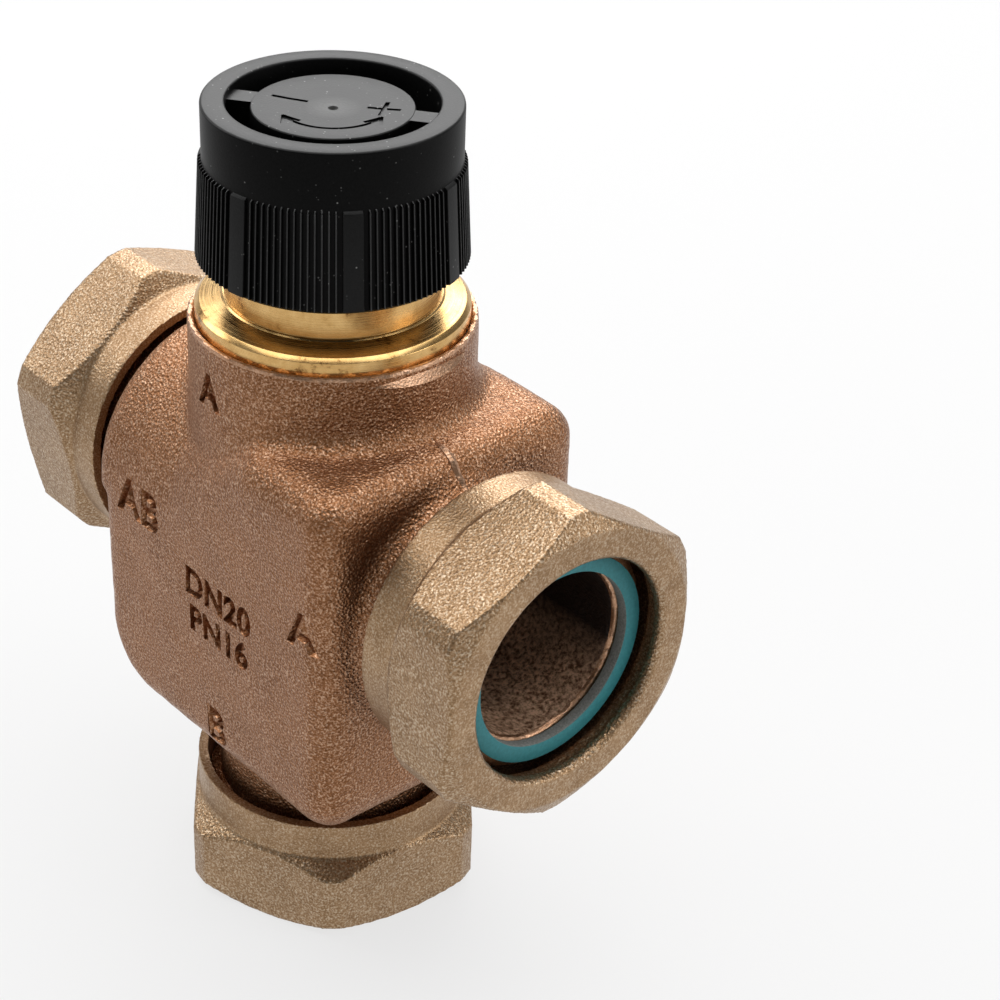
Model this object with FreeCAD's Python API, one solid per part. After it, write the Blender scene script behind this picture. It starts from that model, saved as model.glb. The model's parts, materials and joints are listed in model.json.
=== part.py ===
import FreeCAD, Part
import math
import os

# Three-port control valve with union nuts, in millimetres.
# The spindle axis is Z. Port A leaves along +X, port AB along -X and port B
# along -Z. Z = 0 is the outer face of the nut on port B, on which the valve stands.

# Ports: flat-sealing G 1 connections
port_bore_radius = 11.0
port_thread_radius = 16.6
port_thread_length = 11.5
port_neck_radius = 14.9       # plain neck between the thread and the casting
port_neck_flare = 1.2
thread_chamfer = 1.0          # start of the threads on ports, boss and bonnet

# Cast body around the crossing of the two axes
block_to_a = 24.0
block_to_ab = 24.0
block_half_width = 20.0
block_above_run = 18.8
block_below_run = 29.5
drum_round = 19.0             # round of the drum over port AB
drum_crown_flat = 1.0         # least half width of the flat on its crown
drum_side = 0.6               # straight side of the drum above the run axis
drum_edge_round = 2.5
blend_half_length = 8.0       # half of the stretch where drum becomes shoulder
shoulder_round = 4.6
heel_round = 10.0             # corner under port AB
edge_round = 4.2
boss_radius = 17.55
boss_height = 9.9
boss_foot_round = 2.5

# Water ways inside the body
chamber_radius = 15.0
chamber_roof_drop = 1.3       # chamber roof below the top of the block
seat_plate_rise = 1.0         # underside of the upper seat above the run axis
seat_plate_thickness = 3.5
seat_radius = 8.0
floor_drop = 17.5             # floor of the lower chamber below the run axis
floor_thickness = 7.0
passage_half_width = 10.5
passage_wall = 3.6
passage_round = 3.0

# Union nuts
nut_across_flats = 37.0
nut_corner_radius = 20.6
nut_height = 16.3
nut_hex_height = 9.3
nut_collar_radius = 18.45
nut_lip_radius = 14.3
nut_lip_thickness = 1.6
nut_lip_chamfer = 0.4
nut_face_radius = 18.2
nut_core_radius = 15.2        # core of the thread behind the lip
nut_core_length = 1.9
nut_face_slope = math.tan(math.radians(30.0))
nut_shoulder_slope = math.tan(math.radians(39.0))
nut_turns = {"a": 27.6, "ab": 20.5, "b": 8.2}
nut_overhangs = {"a": 4.6, "ab": 3.6, "b": 4.6}   # outer face beyond the sealing face
nut_rooms = {"a": 4.3, "ab": 3.3, "b": 7.7}       # collar to the casting

# Flat seals of the ports
port_seal_radius = 13.5
port_seal_inner_radius = 11.35
port_seal_thickness = 1.5

# Bonnet and its seal
bonnet_thread_radius = 14.0   # M 28 x 1.5 in the boss and under the cap
bonnet_thread_length = 10.2
bonnet_seal_thickness = 0.8
register_depth = 1.6
register_bevel = 0.5
flange_radius = 16.55
flange_height = 3.0
flange_chamfer = 0.75
flange_dish = 0.4
neck_radius = 13.4
neck_round = 0.5
neck_length = 4.2
cap_thread_length = 6.9
cup_wall = 2.4
cup_bore_radius = 9.5
cup_rise = 2.0                # rim of the spring cup above the cap's thread
cup_floor_rise = 1.1          # floor of the spring cup above the flange
bonnet_web = 1.5

# Spindle guide and packing
spindle_radius = 3.0
guide_bush_length = 4.5
packing_wall = 2.0
packing_washer_thickness = 0.6
gland_across_flats = 11.0
gland_head_height = 3.0

# Spindle, plug and seat ring
spindle_foot_radius = 2.5
spindle_tip = 2.5             # plain end above the retaining ring
plug_flange_radius = 9.2
plug_spigot_radius = 6.3
plug_seal_radius = 9.5
plug_seal_thickness = 2.0
plug_seal_proud = 0.4
plug_nut_across_flats = 8.0
plug_nut_height = 4.0
thread_tail = 0.8             # thread standing out of the plug nut
seat_ring_radius = 10.4
seat_slot_width = 3.0
seat_slot_depth = 1.8

# Return spring with its washer, plate and retaining ring
spring_wire_radius = 0.55
spring_radius = 7.9
spring_coils = 5
spring_washer_thickness = 0.8
spring_washer_wall = 2.3
spring_plate_thickness = 1.4
ring_thickness = 0.8
ring_wall = 1.8
ring_mouth = 60.0

# Adjusting cap, raised by three turns of its thread
cap_pitch = 1.5
cap_turns = 3.0
cap_stop_gap = 0.35
cap_height = 19.45
cap_radius = 15.2
cap_round = 0.5
cap_band_height = 6.7
cap_slot_radius = 12.35
cap_disc_radius = 9.5
cap_disc_recess = 0.75
cap_disc_thickness = 2.4
cap_disc_dish = 0.35
cap_post_radius = 5.0
cap_spoke_width = 3.0
cap_spoke_recess = 0.85
cap_spoke_angle = 37.0
rib_radius = 16.3             # crests at the lower end of the skirt
rib_draft = math.tan(math.radians(3.0))
rib_depth = 0.45
grooves_per_sector = 15
rib_sectors = 7
rib_bar_angle = 8.4
rib_bar_start = -29.7         # direction of one plain bar
rib_end_chamfer = 0.6
pad_radius = 3.2
pad_depth = 2.0
pad_proud = 0.6

# Clearances
seat_gap = 0.05               # flat faces that lie on each other
slip_gap = 0.05               # turned pieces that slip into each other
guide_gap = 0.03              # spindle in its guide
stem_hole_gap = 0.3           # spindle in the floor of the bonnet
cup_gap = 0.35                # washer and plate in the spring cup
bonnet_seal_gap = 0.25        # seal around the bonnet's thread
thread_gap = 0.12             # between mating threads
close_gap = 0.1               # plug short of a seat at the end of its travel
run_gap = 0.6                 # cap above the bonnet at the end of its travel

Vec = FreeCAD.Vector
axis_x = Vec(1, 0, 0)
axis_y = Vec(0, 1, 0)
axis_z = Vec(0, 0, 1)
half_arc = math.sqrt(0.5)
overcut = 1.0                 # how far a cut runs on into a space that is open already
near = 1e-3                   # distance at which an edge counts as lying on a face

# Reaches of the ports out of the block, and levels along the spindle
port_reaches = {port: nut_height - nut_overhangs[port] + nut_rooms[port] for port in nut_rooms}
port_a_face = block_to_a + port_reaches["a"]
port_ab_face = block_to_ab + port_reaches["ab"]
port_b_level = nut_overhangs["b"]
run_level = port_b_level + port_reaches["b"] + block_below_run
block_top = run_level + block_above_run
block_bottom = run_level - block_below_run
boss_top = block_top + boss_height
chamber_roof = block_top - chamber_roof_drop
seat_bottom = run_level + seat_plate_rise
seat_top = seat_bottom + seat_plate_thickness
floor_top = run_level - floor_drop
floor_bottom = floor_top - floor_thickness
register_level = boss_top - register_depth
flange_bottom = register_level + bonnet_seal_thickness
flange_top = flange_bottom + flange_height
bonnet_bottom = flange_bottom - bonnet_thread_length
neck_top = flange_top + neck_length
cap_thread_top = neck_top + cap_thread_length
cup_top = cap_thread_top + cup_rise
cup_floor = flange_top + cup_floor_rise
cup_radius = cup_bore_radius + cup_wall
spring_washer_radius = cup_bore_radius - cup_gap
cap_travel = cap_pitch * cap_turns
cap_bottom = flange_top + cap_travel + cap_stop_gap
cap_top = cap_bottom + cap_height
cap_step = cap_thread_top + cap_travel + run_gap
spoke_bottom = cup_top + cap_travel + run_gap
pad_bottom = spoke_bottom - pad_proud
spindle_top = pad_bottom - seat_gap
ring_top = spindle_top - spindle_tip
ring_bottom = ring_top - ring_thickness
plate_bottom = ring_bottom - spring_plate_thickness
plug_top = seat_bottom - close_gap
plug_bottom = floor_top + cap_travel + close_gap
spigot_top = plug_top - plug_seal_proud
spigot_bottom = plug_bottom + plug_seal_proud
plug_nut_bottom = spigot_bottom - plug_nut_height
packing_radius = spindle_radius + packing_wall
bush_bottom = bonnet_bottom + bonnet_web
bush_top = bush_bottom + guide_bush_length
ring_section = packing_wall / 2 - slip_gap / 2
lower_ring_level = bush_top + ring_section + slip_gap
washer_bottom = lower_ring_level + ring_section + slip_gap
upper_ring_level = washer_bottom + packing_washer_thickness + ring_section + slip_gap
gland_bottom = upper_ring_level + ring_section + slip_gap
drum_corner = min(drum_round, block_half_width - drum_crown_flat)
drum_top = run_level + drum_corner + drum_side


def line(start, end):
    return Part.LineSegment(start, end).toShape()


def arc(start, middle, end):
    return Part.Arc(start, middle, end).toShape()


def turned(points):
    # solid of revolution about Z from an outline of (radius, level) points
    corners = [Vec(radius, 0, level) for radius, level in points]
    outline = Part.makePolygon(corners + corners[:1])
    return Part.Face(outline).revolve(Vec(), axis_z, 360)


def ring(outer, inner, low, high):
    return turned([(inner, low), (outer, low), (outer, high), (inner, high)])


def disc(radius, low, high):
    return Part.makeCylinder(radius, high - low, Vec(0, 0, low))


def hexagon(across_flats, low, high, turn=0.0):
    # hexagonal bar with the normal of one flat at the given angle
    corner = across_flats / 2 / math.cos(math.radians(30))
    angles = [math.radians(turn + 30 + 60 * k) for k in range(6)]
    corners = [Vec(corner * math.cos(a), corner * math.sin(a), low) for a in angles]
    return Part.Face(Part.makePolygon(corners + corners[:1])).extrude(Vec(0, 0, high - low))


def at_port(shape, port):
    # moves a piece built on +Z, with level 0 on the sealing face, to its port
    place = {
        "a": (Vec(port_a_face, 0, run_level), FreeCAD.Rotation(axis_y, 90)),
        "ab": (Vec(-port_ab_face, 0, run_level), FreeCAD.Rotation(axis_y, -90)),
        "b": (Vec(0, 0, port_b_level), FreeCAD.Rotation(axis_x, 180)),
    }
    moved = shape.copy()
    moved.Placement = FreeCAD.Placement(*place[port])
    return moved


def save(name, shape):
    shape.exportStep("parts/" + name + ".step")


# Cast body

def shoulder_outline(x, corner, top):
    # YZ outline of the upper half of the block, with rounded shoulders
    wide = block_half_width
    inset = corner * (1 - half_arc)
    low_right = Vec(x, wide, run_level)
    low_left = Vec(x, -wide, run_level)
    right_start = Vec(x, wide, top - corner)
    right_middle = Vec(x, wide - inset, top - inset)
    right_end = Vec(x, wide - corner, top)
    left_start = Vec(x, -wide + corner, top)
    left_middle = Vec(x, -wide + inset, top - inset)
    left_end = Vec(x, -wide, top - corner)
    return Part.Wire([
        line(low_left, low_right),
        line(low_right, right_start),
        arc(right_start, right_middle, right_end),
        line(right_end, left_start),
        arc(left_start, left_middle, left_end),
        line(left_end, low_left),
    ])


def edges_on(shape, x):
    # edges that lie in the plane at x, above the run axis
    def lies(edge):
        box = edge.BoundBox
        return max(abs(box.XMin - x), abs(box.XMax - x)) < near and box.ZMax > run_level + near
    return [edge for edge in shape.Edges if lies(edge)]


def upper_block():
    drum_end = -blend_half_length
    square_start = blend_half_length
    drum = Part.Face(shoulder_outline(-block_to_ab, drum_corner, drum_top))
    drum = drum.extrude(Vec(block_to_ab + drum_end, 0, 0))
    drum = drum.makeFillet(drum_edge_round, edges_on(drum, -block_to_ab))
    square = Part.Face(shoulder_outline(square_start, shoulder_round, block_top))
    square = square.extrude(Vec(block_to_a - square_start, 0, 0))
    square = square.makeFillet(edge_round, edges_on(square, block_to_a))
    blend = Part.makeLoft([
        shoulder_outline(drum_end, drum_corner, drum_top),
        shoulder_outline(square_start, shoulder_round, block_top),
    ], True, True)
    return drum, blend, square


def lower_block():
    left = -block_to_ab
    right = block_to_a
    low = block_bottom
    heel_inset = heel_round * (1 - half_arc)
    toe_inset = shoulder_round * (1 - half_arc)

    def point(x, z):
        return Vec(x, -block_half_width, z)

    outline = Part.Wire([
        line(point(left, run_level), point(left, low + heel_round)),
        arc(point(left, low + heel_round), point(left + heel_inset, low + heel_inset),
            point(left + heel_round, low)),
        line(point(left + heel_round, low), point(right - shoulder_round, low)),
        arc(point(right - shoulder_round, low), point(right - toe_inset, low + toe_inset),
            point(right, low + shoulder_round)),
        line(point(right, low + shoulder_round), point(right, run_level)),
        line(point(right, run_level), point(left, run_level)),
    ])
    solid = Part.Face(outline).extrude(Vec(0, 2 * block_half_width, 0))

    def on_side(edge):
        box = edge.BoundBox
        return box.YLength < near and box.ZMin < run_level - near

    return solid.makeFillet(edge_round, [edge for edge in solid.Edges if on_side(edge)])


def boss_foot(shape):
    # edges where the round boss rises out of the block
    def at_foot(edge):
        if edge.Curve.TypeId == "Part::GeomLine" or edge.BoundBox.ZMax > boss_top - near:
            return False
        return all(abs(math.hypot(p.x, p.y) - boss_radius) < near for p in edge.discretize(7))
    return [edge for edge in shape.Edges if at_foot(edge)]


def port_neck(reach):
    # threaded neck of one port, from its sealing face back into the block
    root = -reach - port_neck_flare
    plain_end = -port_thread_length
    return turned([
        (0, root),
        (port_neck_radius, root),
        (port_neck_radius, plain_end),
        (port_thread_radius, plain_end + port_thread_radius - port_neck_radius),
        (port_thread_radius, -thread_chamfer),
        (port_thread_radius - thread_chamfer, 0),
        (0, 0),
    ])


def neck_flare(reach):
    # cone where a neck grows out of the block
    inner = port_neck_radius
    low = -reach
    return turned([
        (inner - port_neck_flare, low),
        (inner + port_neck_flare, low),
        (inner, low + port_neck_flare),
    ])


def passage(x_end, low, high):
    # rounded window between a port and its chamber
    width = 2 * passage_half_width
    start = Vec(0, -passage_half_width, low)
    window = Part.makeBox(abs(x_end), width, high - low, start)
    if x_end < 0:
        window.translate(Vec(x_end, 0, 0))
    along = [edge for edge in window.Edges if edge.BoundBox.XLength > abs(x_end) - near]
    return window.makeFillet(passage_round, along)


def water_ways():
    bore_depths = {
        "a": port_a_face - chamber_radius - passage_wall,
        "ab": port_ab_face - chamber_radius - passage_wall,
        "b": floor_bottom - port_b_level,
    }
    bores = [at_port(disc(port_bore_radius, -depth, overcut), port) for port, depth in bore_depths.items()]
    return bores + [
        disc(chamber_radius, seat_top, chamber_roof),
        disc(bonnet_thread_radius + thread_gap, chamber_roof - overcut, boss_top),
        turned([
            (0, register_level),
            (flange_radius + slip_gap, register_level),
            (flange_radius + slip_gap, boss_top - register_bevel),
            (flange_radius + slip_gap + register_bevel, boss_top),
            (0, boss_top),
        ]),
        disc(seat_radius, seat_bottom - overcut, seat_top + overcut),
        disc(chamber_radius, floor_top, seat_bottom),
        disc(seat_ring_radius + slip_gap, floor_bottom - overcut, floor_top + overcut),
        passage(block_to_a - passage_wall, seat_top, block_top - passage_wall),
        passage(-(block_to_ab - passage_wall), floor_top, seat_bottom),
    ]


def valve_body():
    drum, blend, square = upper_block()
    block = drum.fuse([blend, square, lower_block()]).removeSplitter()
    boss = disc(boss_radius, run_level, boss_top)
    block = block.fuse(boss).removeSplitter()
    block = block.makeFillet(boss_foot_round, boss_foot(block))
    necks = []
    for port, reach in port_reaches.items():
        necks.append(at_port(port_neck(reach), port))
        necks.append(at_port(neck_flare(reach), port))
    return block.fuse(necks).cut(water_ways()).removeSplitter()


# Union nuts and port seals

def union_nut(face, turn):
    # face is the level of the outer face above the sealing face
    inner_end = face - nut_height
    corner_top = face - nut_hex_height
    shoulder = (nut_corner_radius - nut_collar_radius) * nut_shoulder_slope
    face_drop = (nut_corner_radius - nut_face_radius) * nut_face_slope
    envelope = turned([
        (0, face),
        (nut_face_radius, face),
        (nut_corner_radius, face - face_drop),
        (nut_corner_radius, corner_top),
        (nut_collar_radius, corner_top - shoulder),
        (0, corner_top - shoulder),
    ])
    head = hexagon(nut_across_flats, corner_top - shoulder, face, turn).common(envelope)
    collar = disc(nut_collar_radius, inner_end, corner_top)
    lip_inner = face - nut_lip_thickness
    thread_start = lip_inner - nut_core_length
    bore_radius = port_thread_radius + thread_gap
    bore = turned([
        (0, inner_end),
        (bore_radius + nut_lip_chamfer, inner_end),
        (bore_radius, inner_end + nut_lip_chamfer),
        (bore_radius, thread_start),
        (nut_core_radius, thread_start),
        (nut_core_radius, lip_inner),
        (nut_lip_radius, lip_inner),
        (nut_lip_radius, face - nut_lip_chamfer),
        (nut_lip_radius + nut_lip_chamfer, face),
        (0, face),
    ])
    return head.fuse(collar).cut(bore).removeSplitter()


def port_seal():
    return ring(port_seal_radius, port_seal_inner_radius, seat_gap, seat_gap + port_seal_thickness)


# Bonnet, packing and seat ring

def bonnet():
    outline = [
        (spindle_radius + stem_hole_gap, bonnet_bottom),
        (bonnet_thread_radius - thread_chamfer, bonnet_bottom),
        (bonnet_thread_radius, bonnet_bottom + thread_chamfer),
        (bonnet_thread_radius, flange_bottom),
        (flange_radius, flange_bottom),
        (flange_radius, flange_top - flange_chamfer),
        (flange_radius - flange_chamfer, flange_top),
        (neck_radius + neck_round, flange_top - flange_dish),
        (neck_radius, flange_top - flange_dish + neck_round),
        (neck_radius, neck_top),
        (bonnet_thread_radius, neck_top + bonnet_thread_radius - neck_radius),
        (bonnet_thread_radius, cap_thread_top - thread_chamfer),
        (bonnet_thread_radius - thread_chamfer, cap_thread_top),
        (cup_radius, cap_thread_top),
        (cup_radius, cup_top),
        (cup_bore_radius, cup_top),
        (cup_bore_radius, cup_floor),
        (packing_radius + slip_gap, cup_floor),
        (packing_radius + slip_gap, bush_bottom),
        (spindle_radius + stem_hole_gap, bush_bottom),
    ]
    return turned(outline)


def eight_sided(radius, centre, level):
    # corners of a round section, as (radius, level) points
    angles = [math.radians(22.5 + 45 * k) for k in range(8)]
    return [(centre + radius * math.cos(a), level + radius * math.sin(a)) for a in angles]


def packing_ring(level):
    # ring between the spindle and the packing bore
    return turned(eight_sided(ring_section, spindle_radius + packing_wall / 2, level))


def gland_nut():
    shank = disc(packing_radius - slip_gap, gland_bottom, cup_floor)
    head_top = cup_floor + gland_head_height
    head = hexagon(gland_across_flats, cup_floor + seat_gap, head_top)
    neck = disc(packing_radius - slip_gap, cup_floor, cup_floor + seat_gap)
    bore = disc(spindle_radius + slip_gap, gland_bottom, head_top)
    return shank.fuse([neck, head]).cut(bore).removeSplitter()


def seat_ring():
    # lower seat, screwed in from port B, with two slots for its key
    solid = ring(seat_ring_radius, seat_radius, floor_bottom, floor_top)
    slot = Part.makeBox(2 * seat_ring_radius, seat_slot_width, seat_slot_depth,
                        Vec(-seat_ring_radius, -seat_slot_width / 2, floor_bottom))
    return solid.cut(slot)


# Spindle and plug

def spindle():
    return turned([
        (0, plug_nut_bottom - thread_tail),
        (spindle_foot_radius - thread_tail / 2, plug_nut_bottom - thread_tail),
        (spindle_foot_radius, plug_nut_bottom - thread_tail / 2),
        (spindle_foot_radius, spigot_top),
        (spindle_radius, spigot_top),
        (spindle_radius, ring_bottom),
        (spindle_foot_radius, ring_bottom),
        (spindle_foot_radius, ring_top),
        (spindle_radius, ring_top),
        (spindle_radius, spindle_top - thread_tail),
        (spindle_radius - thread_tail, spindle_top),
        (0, spindle_top),
    ])


def plug():
    seat_depth = plug_seal_thickness - plug_seal_proud
    return turned([
        (spindle_foot_radius + slip_gap, spigot_bottom),
        (plug_spigot_radius, spigot_bottom),
        (plug_spigot_radius, spigot_bottom + seat_depth),
        (plug_flange_radius, spigot_bottom + seat_depth),
        (plug_flange_radius, spigot_top - seat_depth),
        (plug_spigot_radius, spigot_top - seat_depth),
        (plug_spigot_radius, spigot_top),
        (spindle_foot_radius + slip_gap, spigot_top),
    ])


def plug_seal(low):
    return ring(plug_seal_radius, plug_spigot_radius + slip_gap, low, low + plug_seal_thickness)


def plug_nut():
    nut = hexagon(plug_nut_across_flats, plug_nut_bottom, spigot_bottom)
    return nut.cut(disc(spindle_foot_radius + slip_gap, plug_nut_bottom, spigot_bottom))


# Return spring

def return_spring():
    low = cup_floor + spring_washer_thickness + spring_wire_radius + seat_gap
    high = plate_bottom - spring_wire_radius - seat_gap
    helix = Part.makeHelix((high - low) / spring_coils, high - low, spring_radius)
    corners = [Vec(radius, 0, level) for radius, level in eight_sided(spring_wire_radius, spring_radius, 0)]
    wire = Part.makePolygon(corners + corners[:1])
    coil = Part.Wire(helix).makePipeShell([wire], True, True)
    coil.translate(Vec(0, 0, low))
    return coil


def retaining_ring():
    solid = ring(spindle_foot_radius + slip_gap + ring_wall, spindle_foot_radius + slip_gap,
                 ring_bottom + seat_gap / 2, ring_top - seat_gap / 2)
    reach = 2 * (spindle_foot_radius + ring_wall)
    half = math.radians(ring_mouth / 2)
    corners = [Vec(0, 0, ring_bottom), Vec(reach, -reach * math.tan(half), ring_bottom),
               Vec(reach, reach * math.tan(half), ring_bottom)]
    mouth = Part.Face(Part.makePolygon(corners + corners[:1])).extrude(Vec(0, 0, ring_thickness))
    return solid.cut(mouth)


# Adjusting cap

def rib_outline(level, crest):
    # grooves in sectors with a plain bar between each two of them
    sector = 360.0 / rib_sectors
    pitch = (sector - rib_bar_angle) / grooves_per_sector
    corners = []

    def add(radius, degrees):
        angle = math.radians(degrees)
        corners.append(Vec(radius * math.cos(angle), radius * math.sin(angle), level))

    for sector_number in range(rib_sectors):
        bar_end = rib_bar_start + sector_number * sector + rib_bar_angle / 2
        add(crest, bar_end - rib_bar_angle)
        add(crest, bar_end)
        for groove in range(grooves_per_sector):
            add(crest - rib_depth, bar_end + (groove + 0.5) * pitch)
            if groove < grooves_per_sector - 1:
                add(crest, bar_end + (groove + 1) * pitch)
    return Part.makePolygon(corners + corners[:1])


def ribbed_skirt():
    skirt_top = cap_top - cap_band_height
    top_crest = rib_radius - (skirt_top - cap_bottom) * rib_draft
    skirt = Part.makeLoft([rib_outline(cap_bottom, rib_radius), rib_outline(skirt_top, top_crest)], True, True)
    ends = turned([
        (0, cap_bottom),
        (rib_radius - rib_end_chamfer, cap_bottom),
        (rib_radius, cap_bottom + rib_end_chamfer),
        (rib_radius, skirt_top - rib_end_chamfer),
        (top_crest - rib_end_chamfer, skirt_top),
        (0, skirt_top),
    ])
    return skirt.common(ends)


def adjusting_cap():
    band = turned([
        (0, cap_bottom),
        (cap_radius, cap_bottom),
        (cap_radius, cap_top - cap_round),
        (cap_radius - cap_round, cap_top),
        (0, cap_top),
    ])
    thread_bore = bonnet_thread_radius + thread_gap
    bore = turned([
        (0, cap_bottom),
        (thread_bore + cap_round, cap_bottom),
        (thread_bore, cap_bottom + cap_round),
        (thread_bore, cap_step),
        (cap_slot_radius, cap_step),
        (cap_slot_radius, cap_top),
        (0, cap_top),
    ])
    disc_top = cap_top - cap_disc_recess
    disc_bottom = disc_top - cap_disc_thickness
    core = turned([
        (0, spoke_bottom),
        (cap_post_radius, spoke_bottom),
        (cap_post_radius, disc_bottom),
        (cap_disc_radius, disc_bottom),
        (cap_disc_radius, disc_top),
        (0, disc_top - cap_disc_dish),
    ])
    reach = (cap_slot_radius + cap_radius) / 2
    spoke = Part.makeBox(2 * reach, cap_spoke_width, cap_top - cap_spoke_recess - spoke_bottom,
                         Vec(-reach, -cap_spoke_width / 2, spoke_bottom))
    spoke = spoke.cut(disc(cap_disc_radius - overcut, disc_bottom, cap_top))
    spoke.rotate(Vec(), axis_z, cap_spoke_angle)
    pad_bore = disc(pad_radius + slip_gap, spoke_bottom, spoke_bottom + pad_depth)
    shell = band.fuse(ribbed_skirt()).cut(bore)
    return shell.fuse([core, spoke]).cut(pad_bore).removeSplitter()


def thrust_pad():
    return turned([
        (0, pad_bottom),
        (pad_radius - pad_proud, pad_bottom),
        (pad_radius, pad_bottom + pad_proud),
        (pad_radius, spoke_bottom + pad_depth - seat_gap),
        (0, spoke_bottom + pad_depth - seat_gap),
    ])


os.makedirs("parts", exist_ok=True)
save("valve_body", valve_body())
for port in ("a", "ab", "b"):
    save("union_nut_" + port, at_port(union_nut(nut_overhangs[port], nut_turns[port]), port))
    save("port_seal_" + port, at_port(port_seal(), port))
save("seat_ring", seat_ring())
save("bonnet", bonnet())
save("bonnet_seal", ring(flange_radius - slip_gap, bonnet_thread_radius + bonnet_seal_gap,
                         register_level, flange_bottom))
save("guide_bush", ring(packing_radius, spindle_radius + guide_gap, bush_bottom, bush_top))
save("lower_packing_ring", packing_ring(lower_ring_level))
save("packing_washer", ring(packing_radius, spindle_radius + slip_gap,
                            washer_bottom, washer_bottom + packing_washer_thickness))
save("upper_packing_ring", packing_ring(upper_ring_level))
save("gland_nut", gland_nut())
save("spindle", spindle())
save("plug", plug())
save("upper_plug_seal", plug_seal(plug_top - plug_seal_thickness))
save("lower_plug_seal", plug_seal(plug_bottom))
save("plug_nut", plug_nut())
save("spring_washer", ring(spring_washer_radius, spring_washer_radius - spring_washer_wall,
                           cup_floor, cup_floor + spring_washer_thickness))
save("return_spring", return_spring())
save("spring_plate", ring(spring_washer_radius, spindle_radius + slip_gap, plate_bottom, ring_bottom))
save("retaining_ring", retaining_ring())
save("adjusting_cap", adjusting_cap())
save("thrust_pad", thrust_pad())
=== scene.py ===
import bpy
import json
import math
from mathutils import Matrix, Vector, noise


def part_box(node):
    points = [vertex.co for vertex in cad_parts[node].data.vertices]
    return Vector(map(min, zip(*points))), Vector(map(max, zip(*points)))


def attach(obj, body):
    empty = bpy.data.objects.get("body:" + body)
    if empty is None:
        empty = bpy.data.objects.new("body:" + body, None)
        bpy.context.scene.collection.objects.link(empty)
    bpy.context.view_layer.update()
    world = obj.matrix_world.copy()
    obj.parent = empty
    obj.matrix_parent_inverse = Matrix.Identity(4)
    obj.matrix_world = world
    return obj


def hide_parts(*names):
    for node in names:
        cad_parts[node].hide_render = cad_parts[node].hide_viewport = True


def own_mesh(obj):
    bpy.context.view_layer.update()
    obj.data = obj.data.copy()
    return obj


# Three-port control valve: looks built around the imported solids.
# Sizes in the dictionaries are millimetres and degrees, in the frame of the solids.

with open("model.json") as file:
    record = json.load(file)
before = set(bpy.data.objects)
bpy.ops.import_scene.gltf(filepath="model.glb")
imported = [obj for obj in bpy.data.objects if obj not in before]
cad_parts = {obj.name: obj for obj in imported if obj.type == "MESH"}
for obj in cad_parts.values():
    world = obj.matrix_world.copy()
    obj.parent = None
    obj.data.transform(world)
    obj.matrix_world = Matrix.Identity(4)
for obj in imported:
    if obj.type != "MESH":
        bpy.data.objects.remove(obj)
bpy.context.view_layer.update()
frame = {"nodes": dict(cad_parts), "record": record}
mm = 0.001
fullTurn = 2 * math.pi
mergeReach = 0.002  # points closer than this become one
pathReach = 0.001
ports = ("a", "ab", "b")
shadeAngles = {"rounded": 40, "edged": 30, "turned": 14}  # edges sharper than this stay hard


# Hand tools

def clearSelection():
    if bpy.context.object and bpy.context.object.mode != "OBJECT":
        bpy.ops.object.mode_set(mode="OBJECT")
    bpy.ops.object.select_all(action="DESELECT")


def takeUp(piece):
    clearSelection()
    piece.select_set(True)
    bpy.context.view_layer.objects.active = piece


def settle(piece):
    takeUp(piece)
    bpy.ops.object.transform_apply(location=True, rotation=True, scale=True)


def startFrom(addPrimitive, name, **settings):
    # a primitive to be shaped, with nothing else selected
    clearSelection()
    addPrimitive(**settings)
    piece = bpy.context.object
    piece.name = name
    return piece


def discard(piece):
    bpy.data.objects.remove(piece, do_unlink=True)


def work(piece, kind, **settings):
    # one modifier, applied
    takeUp(piece)
    modifier = piece.modifiers.new(kind.lower(), kind)
    for key, value in settings.items():
        setattr(modifier, key, value)
    bpy.ops.object.modifier_apply(modifier=modifier.name)


def combine(piece, other, how):
    work(piece, "BOOLEAN", operation=how, solver="MANIFOLD", object=other)
    discard(other)
    piece.data.materials.clear()


def joinAll(pieces, name):
    clearSelection()
    for piece in pieces:
        piece.select_set(True)
    bpy.context.view_layer.objects.active = pieces[0]
    bpy.ops.object.join()
    pieces[0].name = name
    return pieces[0]


def sister(piece, name):
    # copy with a mesh of its own
    made = bpy.data.objects.new(name, piece.data.copy())
    bpy.context.scene.collection.objects.link(made)
    return made


def editAll(piece):
    # edit mode with all of the piece selected
    takeUp(piece)
    bpy.ops.object.mode_set(mode="EDIT")
    bpy.ops.mesh.select_all(action="SELECT")


def faceOutward():
    # leaves edit mode with every face pointing outwards
    bpy.ops.mesh.select_all(action="SELECT")
    bpy.ops.mesh.normals_make_consistent(inside=False)
    bpy.ops.object.mode_set(mode="OBJECT")


def mergePoints(piece, reach=mergeReach):
    editAll(piece)
    bpy.ops.mesh.remove_doubles(threshold=reach * mm)
    bpy.ops.object.mode_set(mode="OBJECT")


def pointPath(name, points):
    # edges through a row of points, left in edit mode with all of it selected
    piece = startFrom(bpy.ops.mesh.primitive_plane_add, name, size=mm)
    bpy.ops.object.mode_set(mode="EDIT")
    bpy.ops.mesh.merge(type="CENTER")
    bpy.ops.transform.translate(value=points[0] * mm)
    for start, end in zip(points, points[1:]):
        bpy.ops.mesh.extrude_region_move(TRANSFORM_OT_translate={"value": (end - start) * mm})
    bpy.ops.mesh.select_all(action="SELECT")
    bpy.ops.mesh.remove_doubles(threshold=pathReach * mm)
    return piece


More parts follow.
